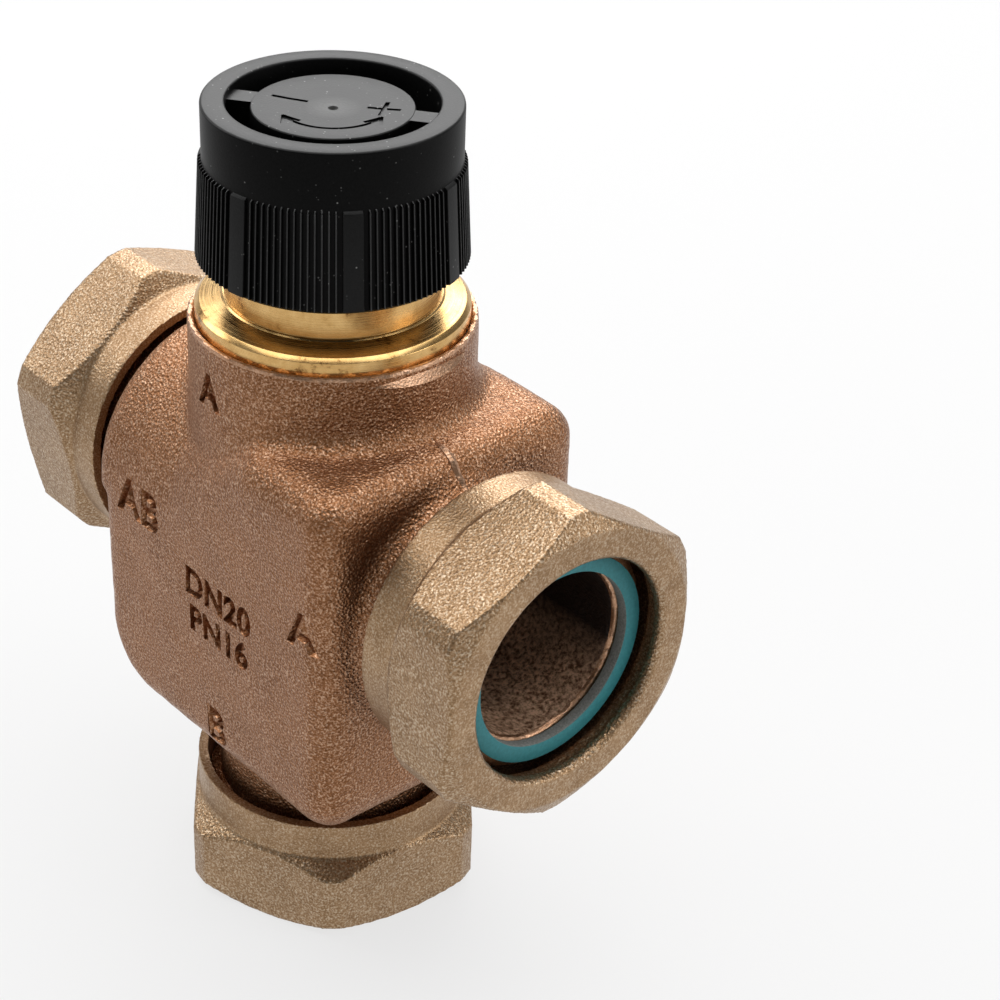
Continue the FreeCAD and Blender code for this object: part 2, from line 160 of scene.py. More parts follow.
def turnedPiece(name, outline, steps, closed=True):
    # outline of (radius, level) points, spun about Z
    route = list(outline) + (list(outline[:1]) if closed else [])
    piece = pointPath(name, [Vector((radius, 0, level)) for radius, level in route])
    bpy.ops.mesh.spin(steps=steps, angle=fullTurn, center=(0, 0, 0), axis=(0, 0, 1))
    bpy.ops.mesh.select_all(action="SELECT")
    bpy.ops.mesh.remove_doubles(threshold=mergeReach * mm)
    faceOutward()
    return piece


def windUp(piece, pitch, turns, steps, sides):
    # closed outline with so many sides, wound about Z into a helix with filled ends
    work(piece, "SCREW", angle=fullTurn, screw_offset=pitch * mm, iterations=turns, steps=steps,
         render_steps=steps, axis="Z", use_merge_vertices=False)
    editAll(piece)
    bpy.ops.mesh.fill_holes(sides=sides)
    faceOutward()


def block(name, low, high):
    # box between two corners
    middle = [(a + b) / 2 * mm for a, b in zip(low, high)]
    piece = startFrom(bpy.ops.mesh.primitive_cube_add, name, size=1, location=middle)
    piece.scale = [(b - a) * mm for a, b in zip(low, high)]
    settle(piece)
    return piece


def upright(name, low, high):
    # upright sheet in the XZ plane between two (radius, level) corners
    middle = ((low[0] + high[0]) / 2 * mm, 0, (low[1] + high[1]) / 2 * mm)
    piece = startFrom(bpy.ops.mesh.primitive_plane_add, name, size=1, location=middle,
                      rotation=(math.pi / 2, 0, 0))
    piece.scale = ((high[0] - low[0]) * mm, (high[1] - low[1]) * mm, 1)
    settle(piece)
    return piece


def sweepRound(piece, degrees, steps):
    # sheet swept about Z into a closed piece; with no window spin turns the other way
    editAll(piece)
    bpy.ops.mesh.spin(steps=steps, angle=-math.radians(degrees), center=(0, 0, 0), axis=(0, 0, 1))
    faceOutward()


def swing(piece, degrees):
    piece.data.transform(Matrix.Rotation(math.radians(degrees), 4, "Z"))


def roundEdges(piece, plan):
    work(piece, "BEVEL", width=plan["edgeRound"] * mm, segments=plan["edgeSegments"],
         limit_method="ANGLE", angle_limit=math.radians(plan["sharperThan"]))


def evenMesh(piece, plan):
    work(piece, "REMESH", mode="VOXEL", voxel_size=plan["voxel"] * mm)
    work(piece, "SMOOTH", factor=0.5, iterations=plan["smoothing"])


def waveSurface(piece, label, size, depth, group=""):
    cloud = bpy.data.textures.new(label, "CLOUDS")
    cloud.noise_scale = size * mm
    cloud.noise_depth = 2
    work(piece, "DISPLACE", texture=cloud, texture_coords="LOCAL", strength=depth * mm,
         mid_level=0.5, vertex_group=group)


def smoothShade(piece, edges):
    takeUp(piece)
    bpy.ops.object.shade_smooth_by_angle(angle=math.radians(shadeAngles[edges]))


def paint(piece, choices, pick):
    # pick gives the finish of a face, one of the choices
    for finish in choices:
        piece.data.materials.append(finish)
    for face in piece.data.polygons:
        face.material_index = choices.index(pick(face))


# Places of the ports, read off the solids

nutBoxes = {port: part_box("union_nut_" + port) for port in ports}
runLevel = (nutBoxes["a"][0].z + nutBoxes["a"][1].z) / 2
portEnds = {
    "a": Vector((nutBoxes["a"][1].x, 0, runLevel)),
    "ab": Vector((nutBoxes["ab"][0].x, 0, runLevel)),
    "b": Vector((0, 0, nutBoxes["b"][0].z)),
}
portTurns = {"a": (0, 90, 0), "ab": (0, -90, 0), "b": (180, 0, 0)}


def placeAtPort(piece, port):
    # piece built on +Z with level 0 in the outer face of the nut
    piece.rotation_euler = [math.radians(angle) for angle in portTurns[port]]
    piece.location = portEnds[port]
    settle(piece)


# Node tools, for finishes and for the world

noiseLow = 0.3  # most values of a noise lie between these two
noiseHigh = 0.7
mixFirst = 6  # colour sockets of a Mix node, which go by number
mixSecond = 7
mixResult = 2


def newFinish(name):
    finish = bpy.data.materials.new(name)
    finish.use_nodes = True
    return finish


def setSockets(node, values):
    for key, value in values.items():
        node.inputs[key].default_value = value


def addNode(finish, kind, settings=None, sockets=None):
    made = finish.node_tree.nodes.new(kind)
    for key, value in (settings or {}).items():
        setattr(made, key, value)
    setSockets(made, sockets or {})
    return made


def plug(finish, source, output, target, socket):
    finish.node_tree.links.new(source.outputs[output], target.inputs[socket])


def shaderOf(finish):
    return finish.node_tree.nodes["Principled BSDF"]


def placeOf(finish):
    # coordinates, one node for each finish
    return finish.node_tree.nodes.get("Texture Coordinate") or addNode(finish, "ShaderNodeTexCoord")


def axesOf(finish, output="Object"):
    made = addNode(finish, "ShaderNodeSeparateXYZ")
    plug(finish, placeOf(finish), output, made, "Vector")
    return made


def fromAxis(finish):
    # distance from the Z axis, in the output named Value
    flat = addNode(finish, "ShaderNodeVectorMath", {"operation": "MULTIPLY"}, {1: (1, 1, 0)})
    plug(finish, placeOf(finish), "Object", flat, 0)
    made = addNode(finish, "ShaderNodeVectorMath", {"operation": "LENGTH"})
    plug(finish, flat, 0, made, 0)
    return made


def mathOf(finish, how, *sources):
    # sources are (node, output) pairs
    made = addNode(finish, "ShaderNodeMath", {"operation": how})
    for number, (node, output) in enumerate(sources):
        plug(finish, node, output, made, number)
    return made


def grainNoise(finish, size, detail=3.0, rough=0.6):
    made = addNode(finish, "ShaderNodeTexNoise", sockets={
        "Scale": 1 / (size * mm), "Detail": detail, "Roughness": rough})
    plug(finish, placeOf(finish), "Object", made, "Vector")
    return made


def grainCells(finish, size):
    # packed little cells, such as the dimples that blasting leaves
    made = addNode(finish, "ShaderNodeTexVoronoi", sockets={"Scale": 1 / (size * mm), "Randomness": 1.0})
    plug(finish, placeOf(finish), "Object", made, "Vector")
    return made


def toneRamp(finish, source, tones, output=0):
    # tones is a list of (position, colour)
    ramp = addNode(finish, "ShaderNodeValToRGB")
    stops = ramp.color_ramp.elements
    while len(stops) < len(tones):
        stops.new(0.5)
    for stop, (position, colour) in zip(stops, tones):
        stop.position = position
        stop.color = (*colour, 1)
    plug(finish, source, output, ramp, "Fac")
    return ramp


def mixColour(finish, first, second, share=None, amount=0.5):
    # base colour between two ramps, by a fixed amount or by what a node gives
    mix = addNode(finish, "ShaderNodeMix", {"data_type": "RGBA"}, {0: amount})
    plug(finish, first, 0, mix, mixFirst)
    plug(finish, second, 0, mix, mixSecond)
    if share:
        plug(finish, share, 0, mix, 0)
    plug(finish, mix, mixResult, shaderOf(finish), "Base Color")


def spread(finish, source, low, high, fromLow=noiseLow, fromHigh=noiseHigh, output=0):
    made = addNode(finish, "ShaderNodeMapRange", sockets={
        "From Min": fromLow, "From Max": fromHigh, "To Min": low, "To Max": high})
    plug(finish, source, output, made, "Value")
    return made


def bumpFrom(finish, source, depth, strength=1.0, under=None):
    # relief of the finish, over the relief under it if there is one
    bump = addNode(finish, "ShaderNodeBump", sockets={"Distance": depth * mm, "Strength": strength})
    plug(finish, source, 0, bump, "Height")
    if under:
        plug(finish, under, "Normal", bump, "Normal")
    plug(finish, bump, 0, shaderOf(finish), "Normal")
    return bump


# Blasted bronze and brass

bronzeLook = {
    "name": "cast bronze",
    "tones": [
        (0.31, (0.122, 0.047, 0.017)),
        (0.50, (0.275, 0.122, 0.053)),
        (0.69, (0.660, 0.445, 0.305)),
    ],
    "clouds": [
        (0.35, (0.185, 0.078, 0.032)),
        (0.65, (0.325, 0.148, 0.066)),
    ],
    "dimple": 0.38,
    "dimpleDepth": 0.125,
    "grain": 0.27,
    "grainDepth": 0.115,
    "cloud": 9.0,
    "cloudShare": 0.28,
    "rough": 0.50,
    "bright": 0.27,
    "metal": 0.94,
}
markLook = {
    **bronzeLook,
    "name": "mark bronze",
    "tones": [
        (0.30, (0.130, 0.052, 0.020)),
        (0.50, (0.250, 0.112, 0.050)),
        (0.70, (0.620, 0.420, 0.290)),
    ],
    "dimple": 0.60,
    "dimpleDepth": 0.05,
    "grain": 0.30,
    "grainDepth": 0.03,
    "cloud": 5.0,
    "cloudShare": 0.40,
    "rough": 0.36,
    "bright": 0.26,
    "metal": 0.96,
}
machinedLook = {
    "name": "machined bronze",
    "tones": [
        (0.30, (0.240, 0.120, 0.062)),
        (0.50, (0.460, 0.265, 0.160)),
        (0.70, (0.800, 0.590, 0.440)),
    ],
    "clouds": [
        (0.35, (0.360, 0.190, 0.105)),
        (0.65, (0.520, 0.310, 0.190)),
    ],
    "dimple": 0.30,
    "dimpleDepth": 0.03,
    "grain": 0.22,
    "grainDepth": 0.02,
    "cloud": 5.0,
    "cloudShare": 0.60,
    "rough": 0.40,
    "bright": 0.28,
    "metal": 0.94,
}
forgedLook = {
    "name": "forged brass",
    "tones": [
        (0.30, (0.130, 0.070, 0.030)),
        (0.50, (0.320, 0.202, 0.112)),
        (0.70, (0.700, 0.595, 0.460)),
    ],
    "clouds": [
        (0.35, (0.280, 0.170, 0.086)),
        (0.65, (0.410, 0.262, 0.140)),
    ],
    "dimple": 0.40,
    "dimpleDepth": 0.075,
    "grain": 0.28,
    "grainDepth": 0.065,
    "cloud": 6.0,
    "cloudShare": 0.40,
    "rough": 0.48,
    "bright": 0.30,
    "metal": 0.94,
}
nutFaceLook = {
    **forgedLook,
    "name": "nut face brass",
    "dimple": 0.34,
    "dimpleDepth": 0.04,
    "grain": 0.26,
    "grainDepth": 0.035,
    "cloudShare": 0.55,
    "rough": 0.46,
    "bright": 0.34,
}


def blastedMetal(look):
    # grains of several tones over slow clouds, with dimples that catch the light
    finish = newFinish(look["name"])
    shader = shaderOf(finish)
    cells = grainCells(finish, look["dimple"])
    fine = grainNoise(finish, look["grain"], detail=2.0)
    cloud = grainNoise(finish, look["cloud"], detail=4.0)
    grainTone = toneRamp(finish, fine, look["tones"])
    cloudTone = toneRamp(finish, cloud, look["clouds"])
    mixColour(finish, grainTone, cloudTone, amount=look["cloudShare"])
    gloss = spread(finish, fine, look["rough"], look["bright"])
    plug(finish, gloss, 0, shader, "Roughness")
    dimples = bumpFrom(finish, cells, look["dimpleDepth"])
    bumpFrom(finish, fine, look["grainDepth"], under=dimples)
    setSockets(shader, {"Metallic": look["metal"]})
    return finish


# Inside of the casting

waterWayLook = {
    "name": "water way bronze with painted shade and light",
    "reach": 12.2,
    "skin": 0.55,
    "skinDepth": 0.25,
    # near-black tones: painted shade over the upper part of the run
    "paintedShade": [(0.30, (0.006, 0.003, 0.001)), (0.70, (0.020, 0.008, 0.004))],
    # pale cast tones: painted light along the bottom of the run
    "cast": [(0.36, (0.170, 0.070, 0.028)), (0.62, (0.950, 0.600, 0.390))],
    # the painted light is full below paleLow and gone above paleHigh, heights measured from the axis of the
    # run
    "paleLow": -8.0,
    "paleHigh": -2.5,
    "patch": 6.0,
    "patchLeast": 0.6,
    "rough": 0.55,
    "metal": 0.25,
}


def shadedWaterWayBronze(look):
    # painted shade and light: near-black over the upper part of the run, and pale cast tones along its
    # bottom as a painted lit patch, both over a rough cast skin
    finish = newFinish(look["name"])
    skin = grainNoise(finish, look["skin"], rough=0.65)
    patch = grainNoise(finish, look["patch"], detail=2.0, rough=0.5)
    paleLow = runLevel + look["paleLow"] * mm
    paleHigh = runLevel + look["paleHigh"] * mm
    # share of painted light by height, broken up into patches
    height = spread(finish, axesOf(finish), 1.0, 0.0, paleLow, paleHigh, output="Z")
    litPatches = spread(finish, patch, look["patchLeast"], 1.0)
    share = mathOf(finish, "MULTIPLY", (height, 0), (litPatches, 0))
    paintedShade = toneRamp(finish, skin, look["paintedShade"])
    cast = toneRamp(finish, skin, look["cast"])
    mixColour(finish, paintedShade, cast, share=share)
    bumpFrom(finish, skin, look["skinDepth"])
    setSockets(shaderOf(finish), {"Roughness": look["rough"], "Metallic": look["metal"]})
    return finish


# Turned brass

turnedLook = {
    "name": "turned brass",
    "line": 0.16,
    "lineDetail": 3.0,
    "lineDepth": 0.012,
    "lineStrength": 0.35,
    "stain": 2.4,
    "tones": [
        (0.31, (0.180, 0.086, 0.026)),
        (0.40, (0.560, 0.340, 0.124)),
        (0.70, (0.720, 0.475, 0.200)),
    ],
    "bright": 0.20,
    "dull": 0.32,
}


def turnedBrass(look):
    # fine lines round the axis, on flat and on round faces, and a few stains
    finish = newFinish(look["name"])
    shader = shaderOf(finish)
    onLathe = mathOf(finish, "ADD", (fromAxis(finish), "Value"), (axesOf(finish), "Z"))
    lines = addNode(finish, "ShaderNodeTexNoise", {"noise_dimensions": "1D"}, {
        "Scale": 1 / (look["line"] * mm), "Detail": look["lineDetail"]})
    plug(finish, onLathe, 0, lines, "W")
    stain = grainNoise(finish, look["stain"], detail=5.0, rough=0.7)
    tones = toneRamp(finish, stain, look["tones"])
    plug(finish, tones, 0, shader, "Base Color")
    gloss = spread(finish, lines, look["bright"], look["dull"])
    plug(finish, gloss, 0, shader, "Roughness")
    bumpFrom(finish, lines, look["lineDepth"], look["lineStrength"])
    setSockets(shader, {"Metallic": 1.0})
    return finish


# Black plastic of the cap

plasticLook = {
    "skin": 0.25,
    "skinDepth": 0.03,
    "skinStrength": 0.4,
    "speck": 0.9,
    "speckCore": 0.05,
    "speckEdge": 0.15,
    "dustPatch": 5.0,
    "dustFrom": 0.50,
    "dustFull": 0.66,
    "dustShare": 0.6,
    "scuffInner": 0.7,
    "scuffOuter": 3.4,
    "scuffShare": 0.10,
    "paleLow": (0.30, 0.30, 0.29),
    "paleHigh": (0.45, 0.45, 0.44),
    "rough": 0.40,
}
plasticShades = {
    "top": {"name": "black plastic", "sheen": 0.16, "low": 0.003, "high": 0.006},
    # darker and less glossy copy of the top plastic: painted shade on the cap's sides and the flanks of the
    # ribs
    "side": {"name": "black plastic with painted side shade", "sheen": 0.06, "low": 0.002, "high": 0.004},
    # paler and glossier copy: a painted highlight on the rib crests
    "crest": {"name": "black plastic with painted crest highlight", "sheen": 0.32, "low": 0.014, "high": 0.026},
}


def blackPlastic(name, sheen, low, high):
    # fine moulded skin, specks of dust in patches and a scuff round the middle of the disc
    look = plasticLook
    finish = newFinish(name)
    skin = grainNoise(finish, look["skin"], detail=2.0, rough=0.5)
    speckCells = grainCells(finish, look["speck"])
    dustCover = grainNoise(finish, look["dustPatch"])
    speck = spread(finish, speckCells, 1.0, 0.0, look["speckCore"], look["speckEdge"])
    cover = spread(finish, dustCover, 0.0, look["dustShare"], look["dustFrom"], look["dustFull"])
    dust = mathOf(finish, "MULTIPLY", (speck, 0), (cover, 0))
    scuff = spread(finish, fromAxis(finish), look["scuffShare"], 0.0,
                   look["scuffInner"] * mm, look["scuffOuter"] * mm, output="Value")
    pale = mathOf(finish, "MAXIMUM", (dust, 0), (scuff, 0))
    plasticTone = toneRamp(finish, skin, [(noiseLow, (low, low, low)), (noiseHigh, (high, high, high))])
    paleTone = toneRamp(finish, skin, [(noiseLow, look["paleLow"]), (noiseHigh, look["paleHigh"])])
    mixColour(finish, plasticTone, paleTone, share=pale)
    bumpFrom(finish, skin, look["skinDepth"], look["skinStrength"])
    setSockets(shaderOf(finish), {"Roughness": look["rough"], "Specular IOR Level": sheen})
    return finish


# Seals, rubber, steel and white plastic

mottledLooks = {
    "fibre_seal": {
        "name": "teal seal face", "size": 0.5, "rough": 0.60, "metal": 0.0, "depth": 0.03,
        "low": (0.018, 0.170, 0.190), "high": (0.030, 0.230, 0.250),
    },
    "black_rubber": {
        "name": "black rubber", "size": 0.4, "rough": 0.55, "metal": 0.0, "depth": 0.03,
        "low": (0.012, 0.012, 0.012), "high": (0.025, 0.025, 0.025),
    },
    "stainless_steel": {
        "name": "drawn steel", "size": 0.3, "rough": 0.28, "metal": 1.0, "depth": 0.01,
        "low": (0.50, 0.50, 0.48), "high": (0.66, 0.66, 0.64),
    },
    "white_plastic": {
        "name": "white plastic", "size": 0.5, "rough": 0.45, "metal": 0.0, "depth": 0.03,
        "low": (0.74, 0.73, 0.70), "high": (0.82, 0.81, 0.78),
    },
}
sealEdgeLook = {
    "name": "seal cut edge", "size": 0.25, "rough": 0.80, "metal": 0.0, "depth": 0.06,
    "low": (0.16, 0.17, 0.16), "high": (0.30, 0.31, 0.29),
}
mottleStrength = 0.4


def mottled(look):
    # plain finish with a slight mottle
    finish = newFinish(look["name"])
    shader = shaderOf(finish)
    grain = grainNoise(finish, look["size"])
    tones = toneRamp(finish, grain, [(noiseLow, look["low"]), (noiseHigh, look["high"])])
    plug(finish, tones, 0, shader, "Base Color")
    bumpFrom(finish, grain, look["depth"], mottleStrength)
    setSockets(shader, {"Roughness": look["rough"], "Metallic": look["metal"]})
    return finish


finishes = {
    "cast_bronze": blastedMetal(bronzeLook),
    "forged_brass": blastedMetal(forgedLook),
    "turned_brass": turnedBrass(turnedLook),
    "black_plastic": blackPlastic(**plasticShades["top"]),
}
for slotName, look in mottledLooks.items():
    finishes[slotName] = mottled(look)
nutFace = blastedMetal(nutFaceLook)
machinedBronze = blastedMetal(machinedLook)
markBronze = blastedMetal(markLook)
shadedWaterWay = shadedWaterWayBronze(waterWayLook)
shadedCapSide = blackPlastic(**plasticShades["side"])
ribCrestHighlight = blackPlastic(**plasticShades["crest"])
sealEdge = mottled(sealEdgeLook)
for entry in frame["record"]["subparts"]:
    solid = frame["nodes"][entry["node"]]
    solid.data.materials.clear()
    solid.data.materials.append(finishes[entry["material_slot"]])
    smoothShade(solid, "edged")
print("finishes set on", len(frame["nodes"]), "solids")


def hangUp(piece, body, slotName, edges, node=None, finish=None):
    # one finished piece: its shading and finish, the body it rides on and the solid it stands for
    smoothShade(piece, edges)
    if not piece.data.materials:
        piece.data.materials.append(finish or finishes[slotName])
    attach(piece, body)
    if node:
        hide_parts(node)


# Cast body

castBodyPlan = {
    "voxel": 0.62,
    "smoothing": 5,
    "wave": 7.0,
    "waveDepth": 0.26,
    "ripple": 1.7,
    "rippleDepth": 0.10,
    "threadCore": 15.1,
    "threadOuter": 17.2,
    "threadTop": -4.0,
    "threadLength": 12.4,
    "threadSteps": 96,
    "faceMargin": 0.7,
}
bodyLow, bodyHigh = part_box("valve_body")


def surfaceAt(body, outside, inward):
    # where a ray from outside first meets the body, in millimetres
    hit, place, normal, face = body.ray_cast(outside * mm, inward)
    return place / mm if hit else None


def isMachined(place):
    # end faces of the ports and of the boss
    margin = castBodyPlan["faceMargin"] * mm
    withinHeight = bodyLow.z + margin < place.z < bodyHigh.z - margin
    withinLength = bodyLow.x + margin < place.x < bodyHigh.x - margin
    return not (withinHeight and withinLength)


def isWaterWay(place):
    # bore and chamber along the run from port A to port AB
    return math.hypot(place.y, place.z - runLevel) < waterWayLook["reach"] * mm


# Parting seam of the casting, each run seen from a point of its own in the plane of the ports

seamPlan = {
    "radius": 0.62,
    "sunk": 0.30,
    "runs": [
        {"x": 14, "z": 64, "from": 20, "to": 60},
        {"x": 14, "z": 42, "from": -78, "to": -22},
        {"x": -14, "z": 64, "from": 120, "to": 160},
        {"x": -14, "z": 42, "from": 202, "to": 258},
    ],
    "step": 1.5,
    "rayStart": 30.0,
    "roundness": 2,
    "endShare": 0.25,
    "taper": 0.5,
    "uneven": 0.2,
}


def seamRidge(points):
    # round ridge through a row of points, thinner towards both ends
    plan = seamPlan
    pointPath("castSeam", points)
    bpy.ops.object.mode_set(mode="OBJECT")
    bpy.ops.object.convert(target="CURVE")
    line = bpy.context.object.data
    line.bevel_depth = plan["radius"] * mm
    line.bevel_resolution = plan["roundness"]
    line.use_fill_caps = True
    last = len(points) - 1
    for spline in line.splines:
        for number, point in enumerate(spline.points):
            share = max(0.0, math.sin(math.pi * number / last))
            width = plan["endShare"] + (1 - plan["endShare"]) * share ** plan["taper"]
            point.radius = width * (1 + plan["uneven"] * noise.noise(points[number]))
    bpy.ops.object.convert(target="MESH")
    piece = bpy.context.object
    mergePoints(piece)
    return piece


def castSeams(body):
    plan = seamPlan
    seams = []
    for run in plan["runs"]:
        heart = Vector((run["x"], 0, run["z"]))
        points = []
        for count in range(int((run["to"] - run["from"]) / plan["step"]) + 1):
            angle = math.radians(run["from"] + count * plan["step"])
            outward = Vector((math.cos(angle), 0, math.sin(angle)))
            ground = surfaceAt(body, heart + outward * plan["rayStart"], -outward)
            points.append(ground - outward * plan["sunk"])
        seams.append(seamRidge(points))
    piece = joinAll(seams, "castSeams")
    hangUp(piece, "body", "cast_bronze", "rounded", finish=machinedBronze)


# Crescent left where the casting's gate was cut away, under the rim of the boss

gatePlan = {
    "bossRadius": 17.55,
    "middle": 0.0,
    "halfSpan": 23.0,
    "top": 81.2,
    "height": 0.9,
    "bow": 0.55,
    "reach": 1.0,
    "sunk": 0.8,
    "lip": 0.12,
    "footMargin": 0.1,
    "endShare": 0.1,
    "steps": 36,
}


def gateLedge():
    plan = gatePlan
    boss = plan["bossRadius"]
    span = plan["halfSpan"]
    low = plan["top"] - plan["height"]
    piece = upright("gateLedge", (boss - plan["sunk"], low), (boss + plan["reach"], plan["top"]))
    sweepRound(piece, 2 * span, plan["steps"])
    for vertex in piece.data.vertices:
        x, y, z = vertex.co / mm
        angle = math.degrees(math.atan2(y, x))
        across = max(0.0, 1 - ((angle - span) / span) ** 2)
        radius = math.hypot(x, y)
        if radius > boss:
            radius = boss + plan["lip"]
            if z < low + plan["footMargin"]:
                radius += plan["reach"] * across
        thickness = plan["endShare"] + (1 - plan["endShare"]) * across
        level = plan["top"] - (plan["top"] - z) * thickness
        level -= plan["bow"] * (1 - across)
        turn = math.radians(angle)
        vertex.co = Vector((radius * math.cos(turn), radius * math.sin(turn), level)) * mm
    swing(piece, plan["middle"] - span)
    hangUp(piece, "body", "cast_bronze", "edged", finish=machinedBronze)


# Marks cut into the casting

markPlan = {
    "depth": 0.75,
    "slope": 0.045,
    "spacing": 1.06,
    "rayStart": 8.0,
    "probeStart": 4.0,
    "margin": 0.08,
    "merge": 0.0005,
    "marks": [
        {"words": "AB", "at": (-14.1, -20, 54.5), "height": 5.3, "outward": (0, -1, 0)},
        {"words": "A", "at": (19.4, -20, 53.6), "height": 5.3, "outward": (0, -1, 0)},
        {"words": "DN20", "at": (2.6, -20, 48.9), "height": 4.1, "outward": (0, -1, 0)},
        {"words": "PN16", "at": (2.6, -20, 43.6), "height": 4.1, "outward": (0, -1, 0)},
        {"words": "B", "at": (1.5, -20, 29.1), "height": 5.4, "outward": (0, -1, 0)},
        {"words": "A", "at": (-1.41, -17.49, 75.6), "height": 4.6, "outward": (-0.0802, -0.9968, 0)},
    ],
}


def markCutter(body, mark):
    # letters laid on the surface, widest in the surface and narrower above and below it
    plan = markPlan
    clearSelection()
    bpy.ops.object.text_add()
    letters = bpy.context.object.data
    letters.body = mark["words"]
    letters.align_x = "CENTER"
    letters.align_y = "CENTER"
    letters.bevel_depth = plan["slope"]
    letters.bevel_resolution = 0
    letters.space_character = plan["spacing"]
    bpy.ops.object.convert(target="MESH")
    piece = bpy.context.object
    levels = [vertex.co.z / plan["slope"] for vertex in piece.data.vertices]
    size = mark["height"] / piece.dimensions.y
    outward = Vector(mark["outward"])
    rightward = Vector((0, 0, 1)).cross(outward)
    for vertex, level in zip(piece.data.vertices, levels):
        spot = Vector(mark["at"]) + rightward * vertex.co.x * size + Vector((0, 0, vertex.co.y * size))
        ground = surfaceAt(body, spot + outward * plan["rayStart"], -outward)
        vertex.co = ((ground or spot) + outward * level * plan["depth"]) * mm
    mergePoints(piece, plan["merge"])
    editAll(piece)
    bpy.ops.mesh.quads_convert_to_tris()
    faceOutward()
    return piece


def isInMark(uncut, place):
    # whether a place lies below the surface that the body had before its marks were cut
    plan = markPlan
    spot = place / mm
    for mark in plan["marks"]:
        reach = mark["height"] * len(mark["words"])
        if (spot - Vector(mark["at"])).length > reach:
            continue
        outward = Vector(mark["outward"])
        ground = surfaceAt(uncut, spot + outward * plan["probeStart"], -outward)
        if ground and (ground - spot).dot(outward) > plan["margin"]:
            return True
    return False


def cutThreadReliefs(piece):
    # room for the port threads, which are pieces of their own
    plan = castBodyPlan
    low = plan["threadTop"] - plan["threadLength"]
    for port in ports:
        relief = turnedPiece("threadRelief", [
            (plan["threadCore"], low),
            (plan["threadOuter"], low),
            (plan["threadOuter"], 0.0),
            (plan["threadCore"], 0.0),
        ], plan["threadSteps"])
        placeAtPort(relief, port)
        combine(piece, relief, "DIFFERENCE")


def castBody():
    plan = castBodyPlan
    piece = sister(frame["nodes"]["valve_body"], "castBody")
    mergePoints(piece)
    cutThreadReliefs(piece)
    evenMesh(piece, plan)
    rough = piece.vertex_groups.new(name="rough")
    for vertex in piece.data.vertices:
        if not isMachined(vertex.co):
            rough.add([vertex.index], 1.0, "REPLACE")
    waveSurface(piece, "cast wave", plan["wave"], plan["waveDepth"], "rough")
    waveSurface(piece, "cast ripple", plan["ripple"], plan["rippleDepth"], "rough")
    castSeams(piece)
    gateLedge()
    uncut = sister(piece, "uncutBody")
    cutters = [markCutter(piece, mark) for mark in markPlan["marks"]]
    for cutter in cutters:
        combine(piece, cutter, "DIFFERENCE")
    piece.vertex_groups.clear()

    def skinOf(face):
        if isMachined(face.center):
            return machinedBronze
        # the run takes the finish with painted shade and light
        if isWaterWay(face.center):
            return shadedWaterWay
        if isInMark(uncut, face.center):
            return markBronze
        return finishes["cast_bronze"]

    paint(piece, [finishes["cast_bronze"], machinedBronze, markBronze, shadedWaterWay], skinOf)
    discard(uncut)
    hangUp(piece, "body", "cast_bronze", "rounded", "valve_body")
    print("cast body", len(piece.data.polygons), "faces")


# Port threads

portThreadPlan = {
    "pitch": 25.4 / 11,
    "crest": 16.55,
    "root": 14.9,
    "footShare": 0.92,
    "crestShare": 0.12,
    "turns": 3,
    "start": -13.4,
    "steps": 48,
    "runOut": 0.2,
    "runOutLeast": 0.1,
}


def portThread(port):
    plan = portThreadPlan
    half = plan["pitch"] / 2
    foot = half * plan["footShare"]
    top = half * plan["crestShare"]
    outline = [(plan["root"], -foot), (plan["crest"], -top), (plan["crest"], top), (plan["root"], foot)]
    points = [Vector((radius, 0, plan["start"] + level)) for radius, level in outline]
    piece = pointPath("portThread" + port.upper(), points + points[:1])
    windUp(piece, plan["pitch"], plan["turns"], plan["steps"], len(outline))
    for vertex in piece.data.vertices:
        # the crest sinks into the core at both ends
        radius = math.hypot(vertex.co.x, vertex.co.y) / mm
        if radius > (plan["root"] + plan["crest"]) / 2:
            turn = (vertex.co.z / mm - plan["start"]) / plan["pitch"]
            share = min(turn, plan["turns"] - turn) / plan["runOut"]
            share = min(1.0, max(plan["runOutLeast"], share))
            wanted = plan["root"] + (plan["crest"] - plan["root"]) * share
            vertex.co.x *= wanted / radius
            vertex.co.y *= wanted / radius
    placeAtPort(piece, port)
    hangUp(piece, "body", "cast_bronze", "edged")


# Union nuts

unionNutPlan = {
    "sides": 6,
    "acrossFlats": 37.0,
    "cornerRadius": 20.6,
    "height": 16.3,
    "hexHeight": 9.3,
    "collarRadius": 18.05,
    "collarLow": -11.2,
    "faceRadius": 18.2,
    "faceSlope": 30,
    "shoulderSlope": 39,
    "lipRadius": 14.3,
    "lipThickness": 1.6,
    "lipChamfer": 0.45,
    "coreRadius": 15.2,
    "coreLength": 1.9,
    "threadBore": 16.72,
    "boreBeyond": 1.0,
    "steps": 144,
    "voxel": 0.28,
    "smoothing": 1,
    "wave": 2.2,
    "waveDepth": 0.05,
    "faceNormal": 0.95,
    "turns": {"a": 27.6, "ab": 20.5, "b": 8.2},
}


